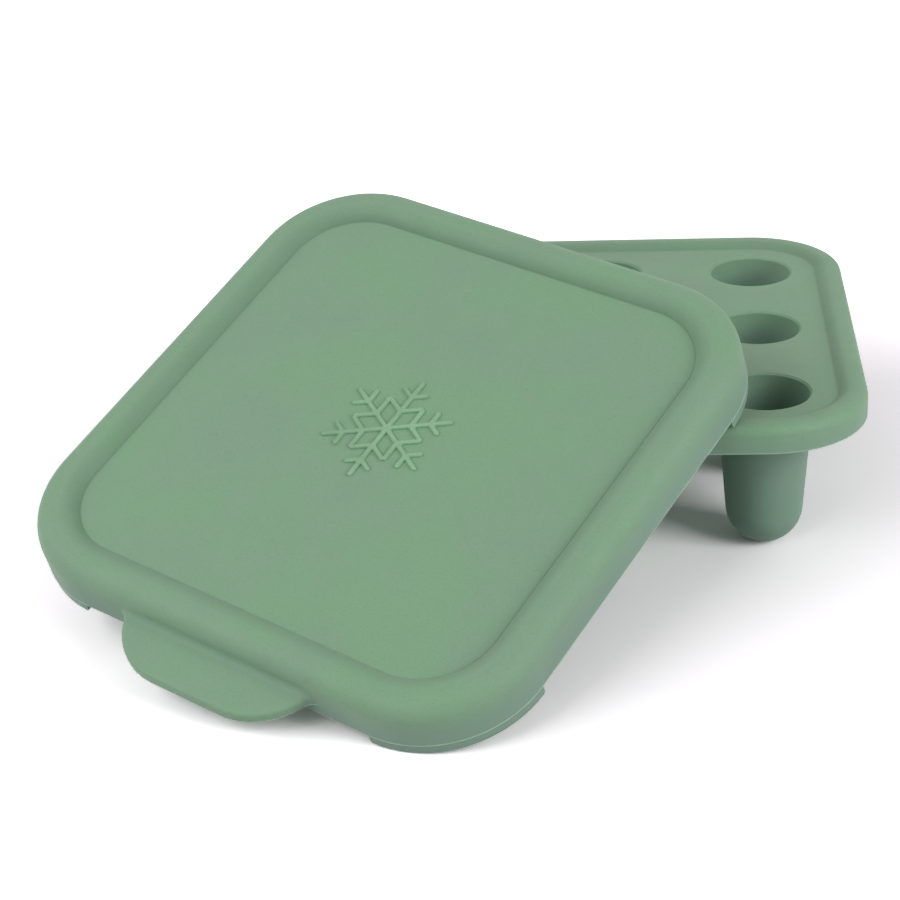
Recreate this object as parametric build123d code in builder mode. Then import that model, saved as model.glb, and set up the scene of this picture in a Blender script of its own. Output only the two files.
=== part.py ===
from build123d import *
from math import acos, cos, degrees, hypot, radians, sin, sqrt, tan
import os

# A silicone freezer tray with nine round wells, and its lid.
# Millimetres, +Z up. The origin is on the floor, under the middle well.
# The lid has been taken off. It leans on the tray's front left corner, with one of its corners on the floor.

# Tray: deck and rim
tray_side = 141.0
tray_corner = 26.5
deck_height = 42.5
deck_thickness = 2.2
rim_rise = 1.9
rim_drop = 5.6
rim_width = 7.6
rim_slope = 45.0
flange_thickness = 3.2
rim_rounding = 2.6
crest_rounding = 3.0
foot_blend = 2.0

# Tray: wells
wells_each_way = 3
well_margin = 7.2
mouth_diameter = 23.4
mouth_bevel = 0.5
well_wall = 1.1
well_floor = 1.6
well_draft = 4.4
foot_angle = 14.0

# Lid: how it fits the tray
rim_clearance = 0.35
seat_clearance = 0.2

# Lid: panel, raised rim and skirt
bead_width = 11.5
panel_corner = 19.0
panel_thickness = 2.0
panel_slope = 32.0
lid_wall = 2.65
lid_rise = 2.9
skirt_depth = 9.3
skirt_draft = 3.0
shoulder_rounding = 5.0
lid_crest_rounding = 5.2
channel_blend = 0.8

# Lid: corner lips, which snap under the tray's rim
lip_drop = 2.7
lip_inset = 0.15
lip_end_rounding = 0.8
hook_reach = 1.1

# Lid: pull tab
tab_tip = 21.0
tab_reach = 12.8
tab_corner = 19.0
tab_flare = 4.0
tab_thickness = 2.6
tab_depth = 3.4
tab_edge_rounding = 1.1
tab_blend = 1.8

# Lid: how it leans, in degrees, and where its middle is, as shares of the tray's side
lid_tilt = 23.68
lid_roll = 6.17
lid_turn = -31.37
lean_gap = 0.3
lid_middle_shares = (-0.3668, -0.5009)

# Tray sizes that follow
half_tray = tray_side / 2
crest_height = deck_height + rim_rise
rim_bottom = deck_height - rim_drop
deck_side = tray_side - 2 * rim_width
deck_corner = tray_corner - rim_width
hollow_side = tray_side - 2 * flange_thickness
hollow_corner = tray_corner - flange_thickness
mouth_radius = mouth_diameter / 2
cup_radius = mouth_radius + well_wall
cup_foot_radius = cup_radius - deck_height * tan(radians(well_draft))
well_pitch = (deck_side - mouth_diameter - 2 * well_margin) / (wells_each_way - 1)
well_foot_radius = mouth_radius - (deck_height - well_floor) * tan(radians(well_draft))

# Lid sizes that follow, in the lid's own frame, where z = 0 is the top of the panel
cavity_side = tray_side + 2 * rim_clearance
cavity_corner = tray_corner + rim_clearance
lid_side = cavity_side + 2 * lid_wall
lid_corner = cavity_corner + lid_wall
panel_side = lid_side - 2 * bead_width
seated_deck = -panel_thickness - seat_clearance
channel_top = seated_deck + rim_rise + rim_clearance
pad_inset = rim_clearance / cos(radians(rim_slope))
pad_side = deck_side - 2 * pad_inset
pad_corner = deck_corner - pad_inset
lip_bottom = -skirt_depth - lip_drop
hook_top = seated_deck - rim_drop - rim_clearance
channel_bevel = (2 - sqrt(2)) * (rim_rounding + rim_clearance)
wall_at_tab = lid_side / 2 - (skirt_depth - tab_depth) * tan(radians(skirt_draft))

# A tapered round form with a domed end: the sloping side runs into a sphere, which is cut flat at its foot
def domed_form(foot_height, foot_radius, top_radius):
    dome_share = cos(radians(well_draft)) / (1 - sin(radians(well_draft)) * cos(radians(foot_angle)))
    dome_radius = foot_radius * dome_share
    dome_middle = foot_height + dome_radius * cos(radians(foot_angle))
    with BuildPart() as form:
        with BuildSketch(Plane.XZ):
            with BuildLine():
                dome_turn = 90 - foot_angle - well_draft
                dome = CenterArc((0, dome_middle), dome_radius, foot_angle - 90, dome_turn)
                Polyline(dome @ 1, (top_radius, deck_height), (0, deck_height), (0, foot_height), dome @ 0)
            make_face()
        revolve(axis=Axis.Z)
    return form.part


cup = domed_form(0, cup_foot_radius, cup_radius)
well = domed_form(well_floor, well_foot_radius, mouth_radius)

# Tray: a thin deck inside a turned-down rim, with the cups hanging from it
with BuildPart() as tray:
    with BuildSketch(Plane.XY.offset(rim_bottom)):
        RectangleRounded(tray_side, tray_side, tray_corner)
    extrude(amount=crest_height - rim_bottom)
    fillet(tray.edges().group_by(Axis.Z)[-1], rim_rounding)
    with BuildSketch(Plane.XY.offset(deck_height)):
        RectangleRounded(deck_side, deck_side, deck_corner)
    extrude(amount=rim_rise, taper=-rim_slope, mode=Mode.SUBTRACT)
    fillet(tray.faces().filter_by(Axis.Z).sort_by(Axis.Z)[-2].edges(), foot_blend)
    crest_face = tray.faces().filter_by(Axis.Z).sort_by(Axis.Z)[-1]
    fillet(crest_face.inner_wires().edges(), crest_rounding)
    with BuildSketch(Plane.XY.offset(rim_bottom)):
        RectangleRounded(hollow_side, hollow_side, hollow_corner)
    extrude(amount=rim_drop - deck_thickness, mode=Mode.SUBTRACT)
    with GridLocations(well_pitch, well_pitch, wells_each_way, wells_each_way):
        add(cup)
    with GridLocations(well_pitch, well_pitch, wells_each_way, wells_each_way):
        add(well, mode=Mode.SUBTRACT)
    deck_face = tray.faces().filter_by(Axis.Z).sort_by(Axis.Z)[-2]
    chamfer(deck_face.inner_wires().edges(), mouth_bevel)
tray.part.label = "tray"

# Corner lip: a quarter turn round the axis of the lid's corner.
# It is flush with the skirt, and has a hook that goes under the tray's rim.
corner_at = lid_side / 2 - lid_corner
wall_middle = cavity_corner + lid_wall / 2
lip_outside = lid_corner - lip_inset
with BuildPart() as corner_lip:
    corner_plane = Plane(origin=(corner_at, corner_at, 0), x_dir=(1, 0, 0), z_dir=(0, -1, 0))
    with BuildSketch(corner_plane):
        with BuildLine():
            Polyline(
                (wall_middle, hook_top),
                (cavity_corner, hook_top),
                (cavity_corner - hook_reach, hook_top - hook_reach),
                (cavity_corner, lip_bottom),
                (lip_outside + lip_drop * tan(radians(skirt_draft)), lip_bottom),
                (lip_outside, -skirt_depth),
                (wall_middle, -skirt_depth),
                close=True,
            )
        make_face()
    revolve(axis=Axis((corner_at, corner_at, 0), (0, 0, 1)), revolution_arc=90)
    fillet(corner_lip.edges().filter_by(GeomType.LINE).group_by(Axis.Z)[0], lip_end_rounding)

# Pull tab: a flat tip between two round corners, which flare out again where they meet the skirt
flare_angle = acos(1 - tab_reach / (tab_corner + tab_flare))
tab_front = -wall_at_tab - tab_reach
tab_root = tab_tip / 2 + (tab_corner + tab_flare) * sin(flare_angle)
with BuildPart() as tab:
    with BuildSketch(Plane.XY.offset(-tab_depth - tab_thickness)):
        with BuildLine():
            Line((0, tab_front), (tab_tip / 2, tab_front))
            bend = CenterArc((tab_tip / 2, tab_front + tab_corner), tab_corner, -90, degrees(flare_angle))
            flare = TangentArc(bend @ 1, (tab_root, -wall_at_tab), tangent=bend % 1)
            Polyline(flare @ 1, (tab_root, -wall_at_tab + lid_wall / 2), (0, -wall_at_tab + lid_wall / 2))
            mirror(about=Plane.YZ)
        make_face()
    extrude(amount=tab_thickness)
    fillet(tab.edges().group_by(Axis.Z)[-1].sort_by(Axis.Y)[0], tab_edge_rounding)

# Lid: a panel in a raised rim, hollow underneath so that it nests over the tray's rim
with BuildPart() as lid:
    with BuildSketch(Plane.XY.offset(-skirt_depth)):
        RectangleRounded(lid_side, lid_side, lid_corner)
    extrude(amount=skirt_depth + lid_rise, taper=skirt_draft)
    fillet(lid.edges().group_by(Axis.Z)[-1], shoulder_rounding)
    with BuildSketch(Plane.XY.offset(-skirt_depth)):
        RectangleRounded(cavity_side, cavity_side, cavity_corner)
    extrude(amount=skirt_depth + channel_top, mode=Mode.SUBTRACT)
    channel_face = lid.faces().filter_by(Axis.Z).sort_by(Axis.Z)[-2]
    chamfer(channel_face.edges(), channel_bevel)
    with BuildSketch(Plane.XY.offset(-panel_thickness)):
        RectangleRounded(pad_side, pad_side, pad_corner)
    extrude(amount=panel_thickness + channel_top, taper=-rim_slope)
    channel_face = lid.faces().filter_by(Axis.Z).sort_by(Axis.Z)[-2]
    fillet(channel_face.inner_wires().edges(), channel_blend)
    with BuildSketch():
        RectangleRounded(panel_side, panel_side, panel_corner)
    extrude(amount=lid_rise, taper=-panel_slope, mode=Mode.SUBTRACT)
    crest_face = lid.faces().filter_by(Axis.Z).sort_by(Axis.Z)[-1]
    fillet(crest_face.inner_wires().edges(), lid_crest_rounding)
    add(tab.part)
    tab_line = lid.edges().filter_by(Axis.X).sort_by_distance((0, -wall_at_tab, -tab_depth))[0]
    fillet(tab_line, tab_blend)
    with PolarLocations(0, 4):
        add(corner_lip.part)

# Where the lid lies. Its lowest lip is on the floor. The panel leans on the tray's front left corner,
# and the back end of the lid's right side on the tray's front rim. Both are cleared by the lean gap.
lean = Rot(0, 0, lid_turn) * Rot(0, lid_roll, 0) * Rot(lid_tilt, 0, 0)
lid_across = Plane(lean).x_dir
lid_along = Plane(lean).y_dir
lid_up = Plane(lean).z_dir
forwards = Vector(lid_up.X, lid_up.Y, 0).normalized()
lid_height = -(lean * lid.part).bounding_box().min.Z
lid_start = Vector(lid_middle_shares[0] * tray_side, lid_middle_shares[1] * tray_side, lid_height)
rim_line = Vector(0, rim_rounding - half_tray, crest_height - rim_rounding)
corner_reach = (
    (abs(lid_up.X) + abs(lid_up.Y)) * (half_tray - tray_corner)
    + hypot(lid_up.X, lid_up.Y) * (tray_corner - rim_rounding)
    + lid_up.Z * rim_line.Z
    + rim_rounding
)
corner_lack = corner_reach + lean_gap + panel_thickness - lid_up.dot(lid_start)
off_rim = Vector(0, -lid_along.Z, lid_along.Y).normalized()
side_place = off_rim.dot(lid_start + lid_across * (cavity_side / 2) + lid_up * lip_bottom)
side_lack = off_rim.dot(rim_line) + rim_rounding + lean_gap - side_place
shift = max(corner_lack / lid_up.dot(forwards), side_lack / off_rim.dot(forwards))
lid_place = Pos(lid_start + forwards * shift) * lean

with BuildPart() as leaning_lid:
    with Locations(lid_place):
        add(lid.part)
leaning_lid.part.label = "lid"

os.makedirs("parts", exist_ok=True)
export_step(tray.part, "parts/tray.step")
export_step(leaning_lid.part, "parts/lid.step")
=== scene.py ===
import bpy
import bmesh
from collections import namedtuple
from math import acos, cos, pi, radians, sin, tan
from mathutils import Color, Matrix, Vector, noise


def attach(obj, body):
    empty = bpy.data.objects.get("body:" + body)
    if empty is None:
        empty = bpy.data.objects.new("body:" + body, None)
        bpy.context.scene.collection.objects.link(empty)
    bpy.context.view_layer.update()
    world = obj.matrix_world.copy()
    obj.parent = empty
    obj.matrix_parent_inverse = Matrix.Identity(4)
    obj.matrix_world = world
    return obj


# A silicone freezer tray, and its lid, which leans on it. Both solids come with the frame.
# This script gives them their finish, and adds thin trim, a stage and a camera.
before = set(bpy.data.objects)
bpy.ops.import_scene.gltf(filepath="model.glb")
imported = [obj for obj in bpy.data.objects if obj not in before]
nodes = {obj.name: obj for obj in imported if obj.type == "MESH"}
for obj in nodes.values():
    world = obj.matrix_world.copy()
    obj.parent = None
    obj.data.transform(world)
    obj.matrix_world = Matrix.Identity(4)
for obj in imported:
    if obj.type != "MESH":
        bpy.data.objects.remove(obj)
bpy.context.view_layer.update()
scene = bpy.context.scene
MM = 0.001

# Sizes of the solids that the finish and the trim follow, in millimetres and degrees
TRAY_SIDE = 141.0
TRAY_CORNER = 26.5
DECK_HEIGHT = 42.5
RIM_WIDTH = 7.6
RIM_DROP = 5.6
LID_OVERHANG = 3.0
BEAD_WIDTH = 11.5
PANEL_CORNER = 19.0
SKIRT_DEPTH = 9.3
SKIRT_DRAFT = 3.0
TAB_TIP = 21.0
TAB_REACH = 12.8
TAB_CORNER = 19.0
TAB_FLARE = 4.0
TAB_THICKNESS = 2.6
TAB_DEPTH = 3.4

# Sizes that follow
RIM_BOTTOM = DECK_HEIGHT - RIM_DROP
DECK_SIDE = TRAY_SIDE - 2 * RIM_WIDTH
DECK_CORNER = TRAY_CORNER - RIM_WIDTH
LID_SIDE = TRAY_SIDE + 2 * LID_OVERHANG
LID_CORNER = TRAY_CORNER + LID_OVERHANG
PANEL_SIDE = LID_SIDE - 2 * BEAD_WIDTH

# The lid's own frame, where z = 0 is the top of its panel: the same place and lean as the solid's
LID_PLACE = (-51.7387, -70.6895, 45.4195)
LID_LEAN = (23.68, 6.17, -31.37)
lid_frame = Matrix.Translation(Vector(LID_PLACE) * MM)
lid_frame = lid_frame @ Matrix.Rotation(radians(LID_LEAN[2]), 4, "Z")
lid_frame = lid_frame @ Matrix.Rotation(radians(LID_LEAN[1]), 4, "Y")
lid_frame = lid_frame @ Matrix.Rotation(radians(LID_LEAN[0]), 4, "X")


def new_object(name, mesh, body):
    """A piece that moves with a body and takes its finish from a slot."""
    obj = bpy.data.objects.new(name, mesh)
    scene.collection.objects.link(obj)
    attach(obj, body)


# Shader nodes

HIGHEST_LEVEL = 255


def srgb(*levels):
    """An 8-bit screen colour, red, green and blue, as the linear colour that a shader takes."""
    colour = Color([level / HIGHEST_LEVEL for level in levels])
    return (*colour.from_srgb_to_scene_linear(), 1.0)


def add_node(tree, kind, **settings):
    made = tree.nodes.new(kind)
    for setting, value in settings.items():
        setattr(made, setting, value)
    return made


def feed(tree, socket, value):
    """Gives a socket a plain value, or links it to an output."""
    if isinstance(value, bpy.types.NodeSocket):
        tree.links.new(value, socket)
    else:
        socket.default_value = value


def math_node(tree, operation, first, second=0.0):
    made = add_node(tree, "ShaderNodeMath", operation=operation)
    feed(tree, made.inputs[0], first)
    feed(tree, made.inputs[1], second)
    return made.outputs[0]


def ramp(tree, source, low, high, first, second):
    """Goes from a first value to a second one while its source goes from low to high."""
    made = add_node(tree, "ShaderNodeMapRange")
    feed(tree, made.inputs["Value"], source)
    feed(tree, made.inputs["From Min"], low)
    feed(tree, made.inputs["From Max"], high)
    feed(tree, made.inputs["To Min"], first)
    feed(tree, made.inputs["To Max"], second)
    return made.outputs["Result"]


def mixed(tree, factor, first, second):
    """Two colours, or outputs that give colours, mixed by a factor."""
    made = add_node(tree, "ShaderNodeMix", data_type="RGBA")
    feed(tree, made.inputs["Factor"], factor)
    sockets = [socket for socket in made.inputs if socket.type == "RGBA"]
    feed(tree, sockets[0], first)
    feed(tree, sockets[1], second)
    return [socket for socket in made.outputs if socket.type == "RGBA"][0]


def cloud(tree, where, scale, detail, roughness):
    made = add_node(tree, "ShaderNodeTexNoise")
    feed(tree, made.inputs["Vector"], where)
    feed(tree, made.inputs["Scale"], scale)
    feed(tree, made.inputs["Detail"], detail)
    feed(tree, made.inputs["Roughness"], roughness)
    return made.outputs["Fac"]


def bump(tree, height, strength, depth, under=None):
    """A fine relief with a depth in millimetres, on top of the relief under it, if there is one."""
    made = add_node(tree, "ShaderNodeBump")
    feed(tree, made.inputs["Height"], height)
    feed(tree, made.inputs["Strength"], strength)
    feed(tree, made.inputs["Distance"], depth * MM)
    if under is not None:
        feed(tree, made.inputs["Normal"], under)
    return made.outputs["Normal"]


# Silicone

GREEN = srgb(125, 165, 130)
GREY_GREEN = srgb(128, 160, 133)
DEEP_GREEN = srgb(110, 147, 116)
# Painted shade: the darker green at the foot of a raised rim
CREASE_SHADE_GREEN = srgb(92, 122, 98)
# Painted highlight: the lighter green of the raised emblem
RELIEF_HIGHLIGHT_GREEN = srgb(142, 184, 147)
# Painted highlight: the pale green of the flash line and the wall's bottom edge
PALE_HIGHLIGHT_GREEN = srgb(172, 202, 180)
# Painted shade: the cooler, greyer green below the flat, where the wells and cups lie in shade
COOL_SHADE_GREEN = srgb(124, 154, 138)

# Noises: grains to the metre, finer layers on them, and how strong those layers are
PATCH_NOISE = (38.0, 3.0, 0.55)
SPECK_NOISE = (1900.0, 2.0, 0.6)
DUST_NOISE = (130.0, 4.0, 0.6)
SWELL_NOISE = (210.0, 2.0, 0.5)
GRAIN_NOISE = (2600.0, 3.0, 0.65)

# The values of a noise between which its effect grows from none to all, and how much that is
PATCH_RANGE = (0.38, 0.66)
SPECK_RANGE = (0.50, 0.78)
SPECK_SHARE = 0.55
DUST_RANGE = (0.35, 0.7)
LEAST_DULL = -0.05
MOST_DULL = 0.07

# Reliefs: how strong they are, and how deep in millimetres
SWELL_RELIEF = (0.10, 0.4)
GRAIN_RELIEF = (0.16, 0.12)

# What is the same all over, by the names of the shader's sockets
PLAIN_VALUES = {
    "Specular IOR Level": 0.5,
    "IOR": 1.43,
    "Subsurface Weight": 0.18,
    "Subsurface Radius": (0.6, 1.0, 0.7),
    "Subsurface Scale": 1.6 * MM,
    "Sheen Weight": 0.10,
    "Sheen Roughness": 0.6,
}

# A flat is the square with round corners inside a piece's raised rim: its side, its corner radius, how deep
# the outer wall goes below it, its place and its lean. These, and the sizes of what follows it, are in
# millimetres and degrees.
Flat = namedtuple("Flat", "side corner depth place lean")
COOL_DEPTH = 7.0
COOL_SHARE = 0.8
COOL_REACH = 12.0
COOL_FADE = 2.0
CREASE_WIDTH = 4.6
CREASE_EDGE = 0.5
CREASE_SHARE = 0.45
EDGE_WIDTH = 0.45
EDGE_START = 6.0
EDGE_SHARE = 0.8


def own_place(tree, coords, flat):
    """A point's place in the piece's own frame, where z = 0 is the flat."""
    own = add_node(tree, "ShaderNodeMapping", vector_type="TEXTURE")
    feed(tree, own.inputs["Location"], [value * MM for value in flat.place])
    feed(tree, own.inputs["Rotation"], [radians(angle) for angle in flat.lean])
    feed(tree, own.inputs["Vector"], coords.outputs["Object"])
    parts = add_node(tree, "ShaderNodeSeparateXYZ")
    feed(tree, parts.inputs["Vector"], own.outputs["Vector"])
    return parts.outputs


def past_flat(tree, own, flat):
    """How far a point is outside the flat's outline, seen from above."""
    straight = (flat.side / 2 - flat.corner) * MM
    away = [math_node(tree, "ABSOLUTE", own[axis]) for axis in ("X", "Y")]
    past = [math_node(tree, "SUBTRACT", value, straight) for value in away]
    outside = [math_node(tree, "MAXIMUM", value, 0.0) for value in past]
    squares = [math_node(tree, "MULTIPLY", value, value) for value in outside]
    reach = math_node(tree, "SQRT", math_node(tree, "ADD", *squares))
    inside = math_node(tree, "MINIMUM", math_node(tree, "MAXIMUM", *past), 0.0)
    return math_node(tree, "SUBTRACT", math_node(tree, "ADD", reach, inside), flat.corner * MM)


def cooled_shade(tree, own, beyond):
    """How much of the cooler, greyer green of painted shade a point takes: more further below the flat, but
    not on a tab past the wall.
    """
    below = ramp(tree, own["Z"], -COOL_DEPTH * MM, 0.0, COOL_SHARE, 0.0)
    on_body = ramp(tree, beyond, COOL_REACH * MM, (COOL_REACH + COOL_FADE) * MM, 1.0, 0.0)
    return math_node(tree, "MULTIPLY", below, on_body)


def crease_shade(tree, own, beyond):
    """How much painted shade darkens a point: most at the foot of the slope, less further up, none on the
    flat.
    """
    up_slope = ramp(tree, beyond, 0.0, CREASE_WIDTH * MM, CREASE_SHARE, 0.0)
    off_flat = ramp(tree, beyond, -CREASE_EDGE * MM, 0.0, 0.0, 1.0)
    on_top = ramp(tree, own["Z"], -CREASE_EDGE * MM, 0.0, 0.0, 1.0)
    return math_node(tree, "MULTIPLY", math_node(tree, "MULTIPLY", up_slope, off_flat), on_top)


def edge_highlight(tree, own, beyond, depth):
    """How strong the painted highlight is at a point: most along the bottom edge of the outer wall."""
    from_edge = math_node(tree, "ABSOLUTE", math_node(tree, "ADD", own["Z"], depth * MM))
    on_edge = ramp(tree, from_edge, 0.0, EDGE_WIDTH * MM, EDGE_SHARE, 0.0)
    on_wall = ramp(tree, beyond, EDGE_START * MM, (EDGE_START + EDGE_WIDTH) * MM, 0.0, 1.0)
    return math_node(tree, "MULTIPLY", on_edge, on_wall)


def silicone(name, colour, greyer, deeper, rough, offset, flat=None):
    """Matte moulded silicone: cloudy colour with specks, dust that dulls it in places, and a fine grain.

    The offset moves its noises, so that two pieces don't look alike. On a piece with a flat, painted shade
    darkens the foot of the raised rim, the colour is cooler below the flat as painted shade, and a painted
    highlight makes the wall's bottom edge pale.
    """
    material = bpy.data.materials.new(name)
    material.use_nodes = True
    tree = material.node_tree
    shader = tree.nodes["Principled BSDF"]
    coords = add_node(tree, "ShaderNodeTexCoord")
    mapping = add_node(tree, "ShaderNodeMapping")
    feed(tree, mapping.inputs["Location"], offset)
    feed(tree, mapping.inputs["Vector"], coords.outputs["Object"])
    where = mapping.outputs["Vector"]

    patches = ramp(tree, cloud(tree, where, *PATCH_NOISE), *PATCH_RANGE, 0.0, 1.0)
    tone = mixed(tree, patches, colour, greyer)
    specks = ramp(tree, cloud(tree, where, *SPECK_NOISE), *SPECK_RANGE, 0.0, SPECK_SHARE)
    tone = mixed(tree, specks, tone, deeper)
    if flat:
        own = own_place(tree, coords, flat)
        beyond = past_flat(tree, own, flat)
        # Painted shade: cooler, greyer colour below the flat
        tone = mixed(tree, cooled_shade(tree, own, beyond), tone, COOL_SHADE_GREEN)
        # Painted shade at the foot of the raised rim
        tone = mixed(tree, crease_shade(tree, own, beyond), tone, CREASE_SHADE_GREEN)
        # Painted highlight along the bottom edge of the outer wall
        tone = mixed(tree, edge_highlight(tree, own, beyond, flat.depth), tone, PALE_HIGHLIGHT_GREEN)
    feed(tree, shader.inputs["Base Color"], tone)

    dust = cloud(tree, where, *DUST_NOISE)
    dull = ramp(tree, dust, *DUST_RANGE, rough + LEAST_DULL, rough + MOST_DULL)
    feed(tree, shader.inputs["Roughness"], dull)

    swell = bump(tree, cloud(tree, where, *SWELL_NOISE), *SWELL_RELIEF)
    grain = bump(tree, cloud(tree, where, *GRAIN_NOISE), *GRAIN_RELIEF, swell)
    feed(tree, shader.inputs["Normal"], grain)

    for socket, value in PLAIN_VALUES.items():
        feed(tree, shader.inputs[socket], value)
    return material


# How rough each look is, and the offset of its noises in metres
BODY_ROUGHNESS = 0.62
EMBLEM_ROUGHNESS = 0.6
FLASH_ROUGHNESS = 0.5
TRAY_OFFSET = (0.0, 0.0, 0.0)
LID_OFFSET = (0.31, 0.12, 0.07)
EMBLEM_OFFSET = (0.22, 0.05, 0.18)
FLASH_OFFSET = (0.1, 0.4, 0.2)

tray_flat = Flat(DECK_SIDE, DECK_CORNER, RIM_DROP, (0.0, 0.0, DECK_HEIGHT), (0.0, 0.0, 0.0))
lid_flat = Flat(PANEL_SIDE, PANEL_CORNER, SKIRT_DEPTH, LID_PLACE, LID_LEAN)
body_greens = (GREEN, GREY_GREEN, DEEP_GREEN)
tray_look = silicone("tray_silicone_look", *body_greens, BODY_ROUGHNESS, TRAY_OFFSET, tray_flat)
lid_look = silicone("lid_silicone_look", *body_greens, BODY_ROUGHNESS, LID_OFFSET, lid_flat)
# The emblem's paler green is a painted highlight
emblem_look = silicone("emblem_look", RELIEF_HIGHLIGHT_GREEN, GREEN, GREY_GREEN, EMBLEM_ROUGHNESS, EMBLEM_OFFSET)
# The flash's pale colour is a painted highlight
flash_look = silicone("flash_look", PALE_HIGHLIGHT_GREEN, PALE_HIGHLIGHT_GREEN, RELIEF_HIGHLIGHT_GREEN, FLASH_ROUGHNESS, FLASH_OFFSET)

for name, look in (("tray", tray_look), ("lid", lid_look)):
    mesh = nodes[name].data
    mesh.materials.clear()
    mesh.materials.append(look)


# Beads: round lines that the trim is made of, worked out in millimetres

def spaced(points, step, closed):
    """The same line with points about a step apart."""
    line = [Vector(point) for point in points]
    if closed:
        line.append(line[0])
    result = []
    for start, end in zip(line, line[1:]):
        count = max(1, round((end - start).length / step))
        result += [start.lerp(end, i / count) for i in range(count)]
    if not closed:
        result.append(line[-1])
    return result


def bead(bm, points, radii, sides, closed):
    """Adds a round bead along a line to a mesh. It is as thick at each point as its radius there."""
    rings = []
    count = len(points)
    turns = [2 * pi * i / sides for i in range(sides)]
    for i, (point, radius) in enumerate(zip(points, radii)):
        before = points[i - 1] if closed or i else point
        after = points[(i + 1) % count] if closed or i + 1 < count else point
        along = (after - before).normalized()
        across = along.cross(Vector((0, 0, 1))).normalized()
        up = across.cross(along)
        spokes = [across * cos(turn) + up * sin(turn) for turn in turns]
        rings.append([bm.verts.new(point + spoke * radius) for spoke in spokes])
    pairs = list(zip(rings, rings[1:]))
    if closed:
        pairs.append((rings[-1], rings[0]))
    for ring, next_ring in pairs:
        for i in range(sides):
            following = (i + 1) % sides
            bm.faces.new((ring[i], ring[following], next_ring[following], next_ring[i]))
    if not closed:
        bm.faces.new(rings[0][::-1])
        bm.faces.new(rings[-1])


def bead_mesh(name, bm, place, look):
    """Turns a mesh in millimetres into a smooth one in metres, placed by a matrix."""
    bmesh.ops.recalc_face_normals(bm, faces=bm.faces)
    bmesh.ops.transform(bm, matrix=place @ Matrix.Scale(MM, 4), verts=bm.verts)
    mesh = bpy.data.meshes.new(name)
    bm.to_mesh(mesh)
    bm.free()
    mesh.polygons.foreach_set("use_smooth", [True] * len(mesh.polygons))
    mesh.materials.append(look)
    return mesh


# Flash: the thin line that is left where the halves of a mould meet, with its sizes in millimetres; its pale
# colour is a painted highlight.
# Its thickness is uneven by a noise, and it fades towards an end over a few points.
FLASH_RADIUS = 0.15
FLASH_SINK = 0.04
FLASH_FLUSH = 0.2
FLASH_SIDES = 6
FLASH_MIDDLE_SHARE = 0.75
FLASH_UNEVEN_SHARE = 0.55
FLASH_UNEVEN_SCALE = 0.35
FLASH_END_SHARE = 0.15
FLASH_GROWTH_SHARE = 0.3
RING_STEP = 1.6
RING_CORNER_STEPS = 24
TAB_STEP = 1.2
TAB_ARC_STEPS = 8


def flash(name, points, closed, place, body):
    """A thin uneven bead along a line, which fades at its ends if it has any."""
    bm = bmesh.new()
    radii = []
    last = len(points) - 1
    for i, point in enumerate(points):
        uneven = FLASH_UNEVEN_SHARE * noise.noise(point * FLASH_UNEVEN_SCALE)
        radius = FLASH_RADIUS * (FLASH_MIDDLE_SHARE + uneven)
        if not closed:
            radius *= min(1.0, FLASH_END_SHARE + FLASH_GROWTH_SHARE * min(i, last - i))
        radii.append(radius)
    bead(bm, points, radii, FLASH_SIDES, closed)
    new_object(name, bead_mesh(name, bm, place, flash_look), body)


def round_square(half, corner, steps):
    """Points round a square with round corners, anticlockwise."""
    points = []
    for quarter in range(4):
        turn = quarter * pi / 2
        middle_x = (half - corner) * (cos(turn) - sin(turn))
        middle_y = (half - corner) * (sin(turn) + cos(turn))
        for i in range(steps + 1):
            angle = turn + i / steps * pi / 2
            points.append((middle_x + corner * cos(angle), middle_y + corner * sin(angle)))
    return points


def flash_ring(name, side, corner, height, sink, place, body, slot):
    """A line round a square with round corners, sunk into its wall."""
    edge = round_square(side / 2 - sink, corner - sink, RING_CORNER_STEPS)
    points = spaced([(x, y, height) for x, y in edge], RING_STEP, True)
    flash(name, points, True, place, body)


def tab_outline(steps):
    """The pull tab's edge from one root to the other: two flares, two round corners and a flat tip."""
    wall = LID_SIDE / 2 - (SKIRT_DEPTH - TAB_DEPTH) * tan(radians(SKIRT_DRAFT))
    turn = acos(1 - TAB_REACH / (TAB_CORNER + TAB_FLARE))
    root = TAB_TIP / 2 + (TAB_CORNER + TAB_FLARE) * sin(turn)
    corner_middle = TAB_CORNER - wall - TAB_REACH
    half = []
    for i in range(steps + 1):
        angle = turn * i / steps
        half.append((root - TAB_FLARE * sin(angle), -wall - TAB_FLARE + TAB_FLARE * cos(angle)))
    for i in range(steps + 1):
        angle = turn * (1 - i / steps)
        half.append((TAB_TIP / 2 + TAB_CORNER * sin(angle), corner_middle - TAB_CORNER * cos(angle)))
    return half + [(-x, y) for x, y in reversed(half)]


# The tray's line hangs under its rim and is flush with the wall, which is the widest part of the tray
tray_frame = Matrix.Identity(4)
skirt_bottom = FLASH_SINK - SKIRT_DEPTH
tab_bottom = FLASH_SINK - TAB_DEPTH - TAB_THICKNESS
tab_edge = [(x, y + FLASH_SINK, tab_bottom) for x, y in tab_outline(TAB_ARC_STEPS)]
tray_edge_sizes = (TRAY_SIDE, TRAY_CORNER, RIM_BOTTOM, FLASH_FLUSH)
lid_edge_sizes = (LID_SIDE, LID_CORNER, skirt_bottom, FLASH_SINK)
flash_ring("tray_rim_flash", *tray_edge_sizes, tray_frame, "tray", "tray_silicone")
flash_ring("lid_skirt_flash", *lid_edge_sizes, lid_frame, "lid", "lid_silicone")
flash("lid_tab_flash", spaced(tab_edge, TAB_STEP, False), False, lid_frame, "lid")


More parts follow.
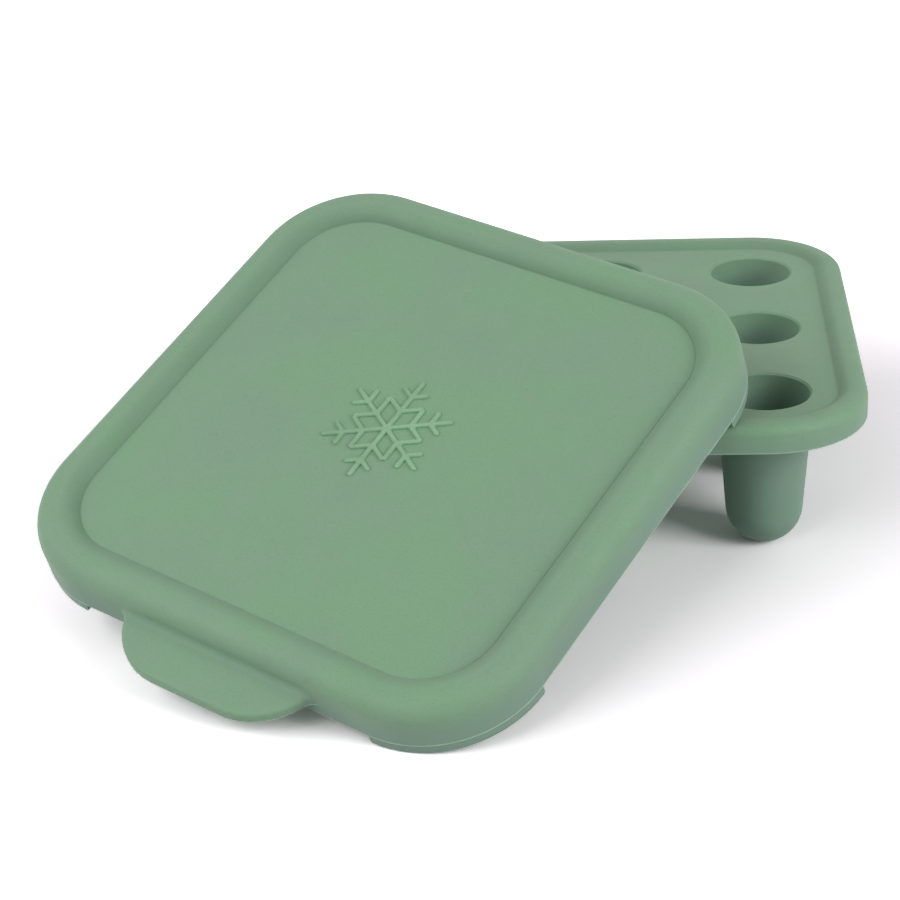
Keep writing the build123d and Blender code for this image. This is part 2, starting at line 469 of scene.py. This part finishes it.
# Emblem: a plain snow crystal in low relief in the middle of the panel, with its sizes in millimetres. Its
# paler green is a painted highlight.
# Each pair of branches is given by its place on the arm and its length, as shares of the arm.
EMBLEM_ARMS = 6
EMBLEM_ARM = 17.0
EMBLEM_BRANCH_ANGLE = 60.0
EMBLEM_BRANCH_SHARES = ((0.36, 0.36), (0.66, 0.26))
EMBLEM_RADIUS = 0.65
EMBLEM_SIDES = 16
EMBLEM_LIFT = 0.15
EMBLEM_GRAIN = 0.2
EMBLEM_SMOOTHING = 0.5


def emblem_strokes():
    """The crystal's lines: its arms, each with pairs of branches."""
    middle = Vector((0, 0, EMBLEM_LIFT))
    lines = []
    for arm in range(EMBLEM_ARMS):
        turn = Matrix.Rotation(arm * 2 * pi / EMBLEM_ARMS, 3, "Z")
        tip = turn @ Vector((0, EMBLEM_ARM, 0))
        lines.append((middle, middle + tip))
        for place_share, length_share in EMBLEM_BRANCH_SHARES:
            root = middle + tip * place_share
            for side in (-1, 1):
                spread = Matrix.Rotation(side * radians(EMBLEM_BRANCH_ANGLE), 3, "Z")
                branch = turn @ spread @ Vector((0, EMBLEM_ARM * length_share, 0))
                lines.append((root, root + branch))
    return lines


def round_ended(points, start, end):
    """A stroke's radius at each of its points: it closes at both ends like a ball."""
    length = (end - start).length
    radii = []
    for point in points:
        run = (point - start).length
        near = min(run, length - run, EMBLEM_RADIUS)
        radius = (EMBLEM_RADIUS ** 2 - (EMBLEM_RADIUS - near) ** 2) ** 0.5
        radii.append(max(EMBLEM_GRAIN / 2, radius))
    return radii


def emblem():
    """All the lines as round-ended beads, grown into one skin."""
    bm = bmesh.new()
    for start, end in emblem_strokes():
        points = spaced([start, end], EMBLEM_GRAIN, False)
        bead(bm, points, round_ended(points, start, end), EMBLEM_SIDES, False)
    bmesh.ops.recalc_face_normals(bm, faces=bm.faces)
    rough = bpy.data.meshes.new("lid_emblem_lines")
    bm.to_mesh(rough)
    bm.free()
    lines = bpy.data.objects.new("lid_emblem_lines", rough)
    scene.collection.objects.link(lines)
    skin = lines.modifiers.new("skin", "REMESH")
    skin.mode = "VOXEL"
    skin.voxel_size = EMBLEM_GRAIN
    grown = bpy.data.meshes.new_from_object(lines.evaluated_get(bpy.context.evaluated_depsgraph_get()))
    bm = bmesh.new()
    bm.from_mesh(grown)
    bmesh.ops.smooth_vert(
        bm, verts=bm.verts, factor=EMBLEM_SMOOTHING, use_axis_x=True, use_axis_y=True, use_axis_z=True
    )
    bpy.data.objects.remove(lines)
    bpy.data.meshes.remove(rough)
    bpy.data.meshes.remove(grown)
    new_object("lid_emblem", bead_mesh("lid_emblem", bm, lid_frame, emblem_look), "lid")


emblem()


# Stage: a pale floor, a white surround and soft studio light, with sizes and places in metres

# How much light the floor throws back onto the object, and how bright it looks to the camera: overexposed,
# and more so away from the object
FLOOR_REACH = 0.7
FLOOR_DROP = 0.0002
FLOOR_BOUNCE = (0.60, 0.60, 0.60, 1.0)
FLOOR_TINT = (1.0, 0.975, 1.0)
FLOOR_NEAR = 1.6
FLOOR_FAR = 2.4
FLOOR_NEAR_AT = 0.12
FLOOR_FAR_AT = 0.30
AMBIENT_COLOUR = (1.0, 0.96, 0.99, 1.0)
AMBIENT_STRENGTH = 0.30
WHITE = (1.0, 1.0, 1.0, 1.0)
WHITE_STRENGTH = 1.0


def seen_or_thrown(tree, seen, thrown, out):
    """Shows one shader to the camera, also in a reflection or through glass, and lights by another."""
    rays = add_node(tree, "ShaderNodeLightPath")
    seen_ray = rays.outputs["Is Camera Ray"]
    for kind in ("Is Glossy Ray", "Is Transmission Ray"):
        seen_ray = math_node(tree, "MAXIMUM", seen_ray, rays.outputs[kind])
    choose = add_node(tree, "ShaderNodeMixShader")
    feed(tree, choose.inputs["Fac"], seen_ray)
    feed(tree, choose.inputs[1], thrown.outputs[0])
    feed(tree, choose.inputs[2], seen.outputs[0])
    feed(tree, out.inputs["Surface"], choose.outputs[0])


def floor_look():
    """Grey paper to the light that it throws back, and overexposed paper to the camera."""
    material = bpy.data.materials.new("floor_look")
    material.use_nodes = True
    tree = material.node_tree
    tree.nodes.clear()
    bounce = add_node(tree, "ShaderNodeBsdfDiffuse")
    feed(tree, bounce.inputs["Color"], FLOOR_BOUNCE)
    spot = add_node(tree, "ShaderNodeNewGeometry")
    away = add_node(tree, "ShaderNodeVectorMath", operation="LENGTH")
    feed(tree, away.inputs[0], spot.outputs["Position"])
    tone = ramp(tree, away.outputs["Value"], FLOOR_NEAR_AT, FLOOR_FAR_AT, FLOOR_NEAR, FLOOR_FAR)
    shade = add_node(tree, "ShaderNodeVectorMath", operation="SCALE")
    feed(tree, shade.inputs[0], FLOOR_TINT)
    feed(tree, shade.inputs["Scale"], tone)
    paper = add_node(tree, "ShaderNodeBsdfDiffuse")
    feed(tree, paper.inputs["Color"], shade.outputs["Vector"])
    seen_or_thrown(tree, paper, bounce, add_node(tree, "ShaderNodeOutputMaterial"))
    return material


def stage_floor():
    mesh = bpy.data.meshes.new("floor")
    corners = [(x * FLOOR_REACH, y * FLOOR_REACH, 0) for x, y in ((-1, -1), (1, -1), (1, 1), (-1, 1))]
    mesh.from_pydata(corners, [], [(0, 1, 2, 3)])
    mesh.materials.append(floor_look())
    obj = bpy.data.objects.new("floor", mesh)
    obj.location.z = -FLOOR_DROP
    scene.collection.objects.link(obj)


def surround():
    """White to the camera, and a dim even light to the object."""
    world = bpy.data.worlds.new("studio")
    scene.world = world
    world.use_nodes = True
    tree = world.node_tree
    tree.nodes.clear()
    ambient = add_node(tree, "ShaderNodeBackground")
    feed(tree, ambient.inputs["Color"], AMBIENT_COLOUR)
    feed(tree, ambient.inputs["Strength"], AMBIENT_STRENGTH)
    white = add_node(tree, "ShaderNodeBackground")
    feed(tree, white.inputs["Color"], WHITE)
    feed(tree, white.inputs["Strength"], WHITE_STRENGTH)
    seen_or_thrown(tree, white, ambient, add_node(tree, "ShaderNodeOutputWorld"))


def soft_light(name, place, side, power):
    """A square lamp, aimed at the object."""
    data = bpy.data.lights.new(name, "AREA")
    data.shape = "RECTANGLE"
    data.size = side
    data.size_y = side
    data.energy = power
    obj = bpy.data.objects.new(name, data)
    obj.location = place
    obj.rotation_mode = "QUATERNION"
    obj.rotation_quaternion = (Vector(LIT_PLACE) - Vector(place)).to_track_quat("-Z", "Y")
    scene.collection.objects.link(obj)


stage_floor()
surround()

# Lamps: the place that they light, and each one's place, side and power in watts
LIT_PLACE = (-0.02, -0.05, 0.03)
soft_light("right_light", place=(1.17, -0.74, 0.72), side=0.8, power=12.2)
soft_light("left_light", place=(-1.2, -0.1, 0.9), side=0.9, power=5.7)
soft_light("front_light", place=(-0.85, -1.0, 0.95), side=0.9, power=6.4)


# Camera, fitted to the photograph: its place in millimetres, its turns in degrees, and its lens in the
# photograph's pixels. What it sees lies between two distances in metres.
CAMERA_PLACE = (16.02, -559.94, 269.53)
CAMERA_PITCH = 26.591
CAMERA_ROLL = -2.289
CAMERA_YAW = 3.505
FOCAL_PIXELS = 2158.124
AXIS_PIXEL = (540.64, 502.90)
FRAME_PIXELS = 900.0
SENSOR_WIDTH = 36.0
NEAREST_SEEN = 0.01
FURTHEST_SEEN = 50.0

pitch = radians(CAMERA_PITCH)
roll = radians(CAMERA_ROLL)
heading = Matrix.Rotation(radians(CAMERA_YAW), 3, "Z")
forward = heading @ Vector((0, cos(pitch), -sin(pitch)))
level = heading @ Vector((1, 0, 0))
upright = level.cross(forward)
right = level * cos(roll) + upright * sin(roll)
up = upright * cos(roll) - level * sin(roll)
camera_turn = Matrix((right, up, -forward)).transposed().to_4x4()

camera_data = bpy.data.cameras.new("camera")
camera_data.sensor_fit = "HORIZONTAL"
camera_data.sensor_width = SENSOR_WIDTH
camera_data.lens = FOCAL_PIXELS / FRAME_PIXELS * SENSOR_WIDTH
camera_data.shift_x = (FRAME_PIXELS / 2 - AXIS_PIXEL[0]) / FRAME_PIXELS
camera_data.shift_y = (AXIS_PIXEL[1] - FRAME_PIXELS / 2) / FRAME_PIXELS
camera_data.clip_start = NEAREST_SEEN
camera_data.clip_end = FURTHEST_SEEN
camera = bpy.data.objects.new("camera", camera_data)
camera.matrix_world = Matrix.Translation(Vector(CAMERA_PLACE) * MM) @ camera_turn
scene.collection.objects.link(camera)
scene.camera = camera
scene.view_settings.view_transform = "Standard"
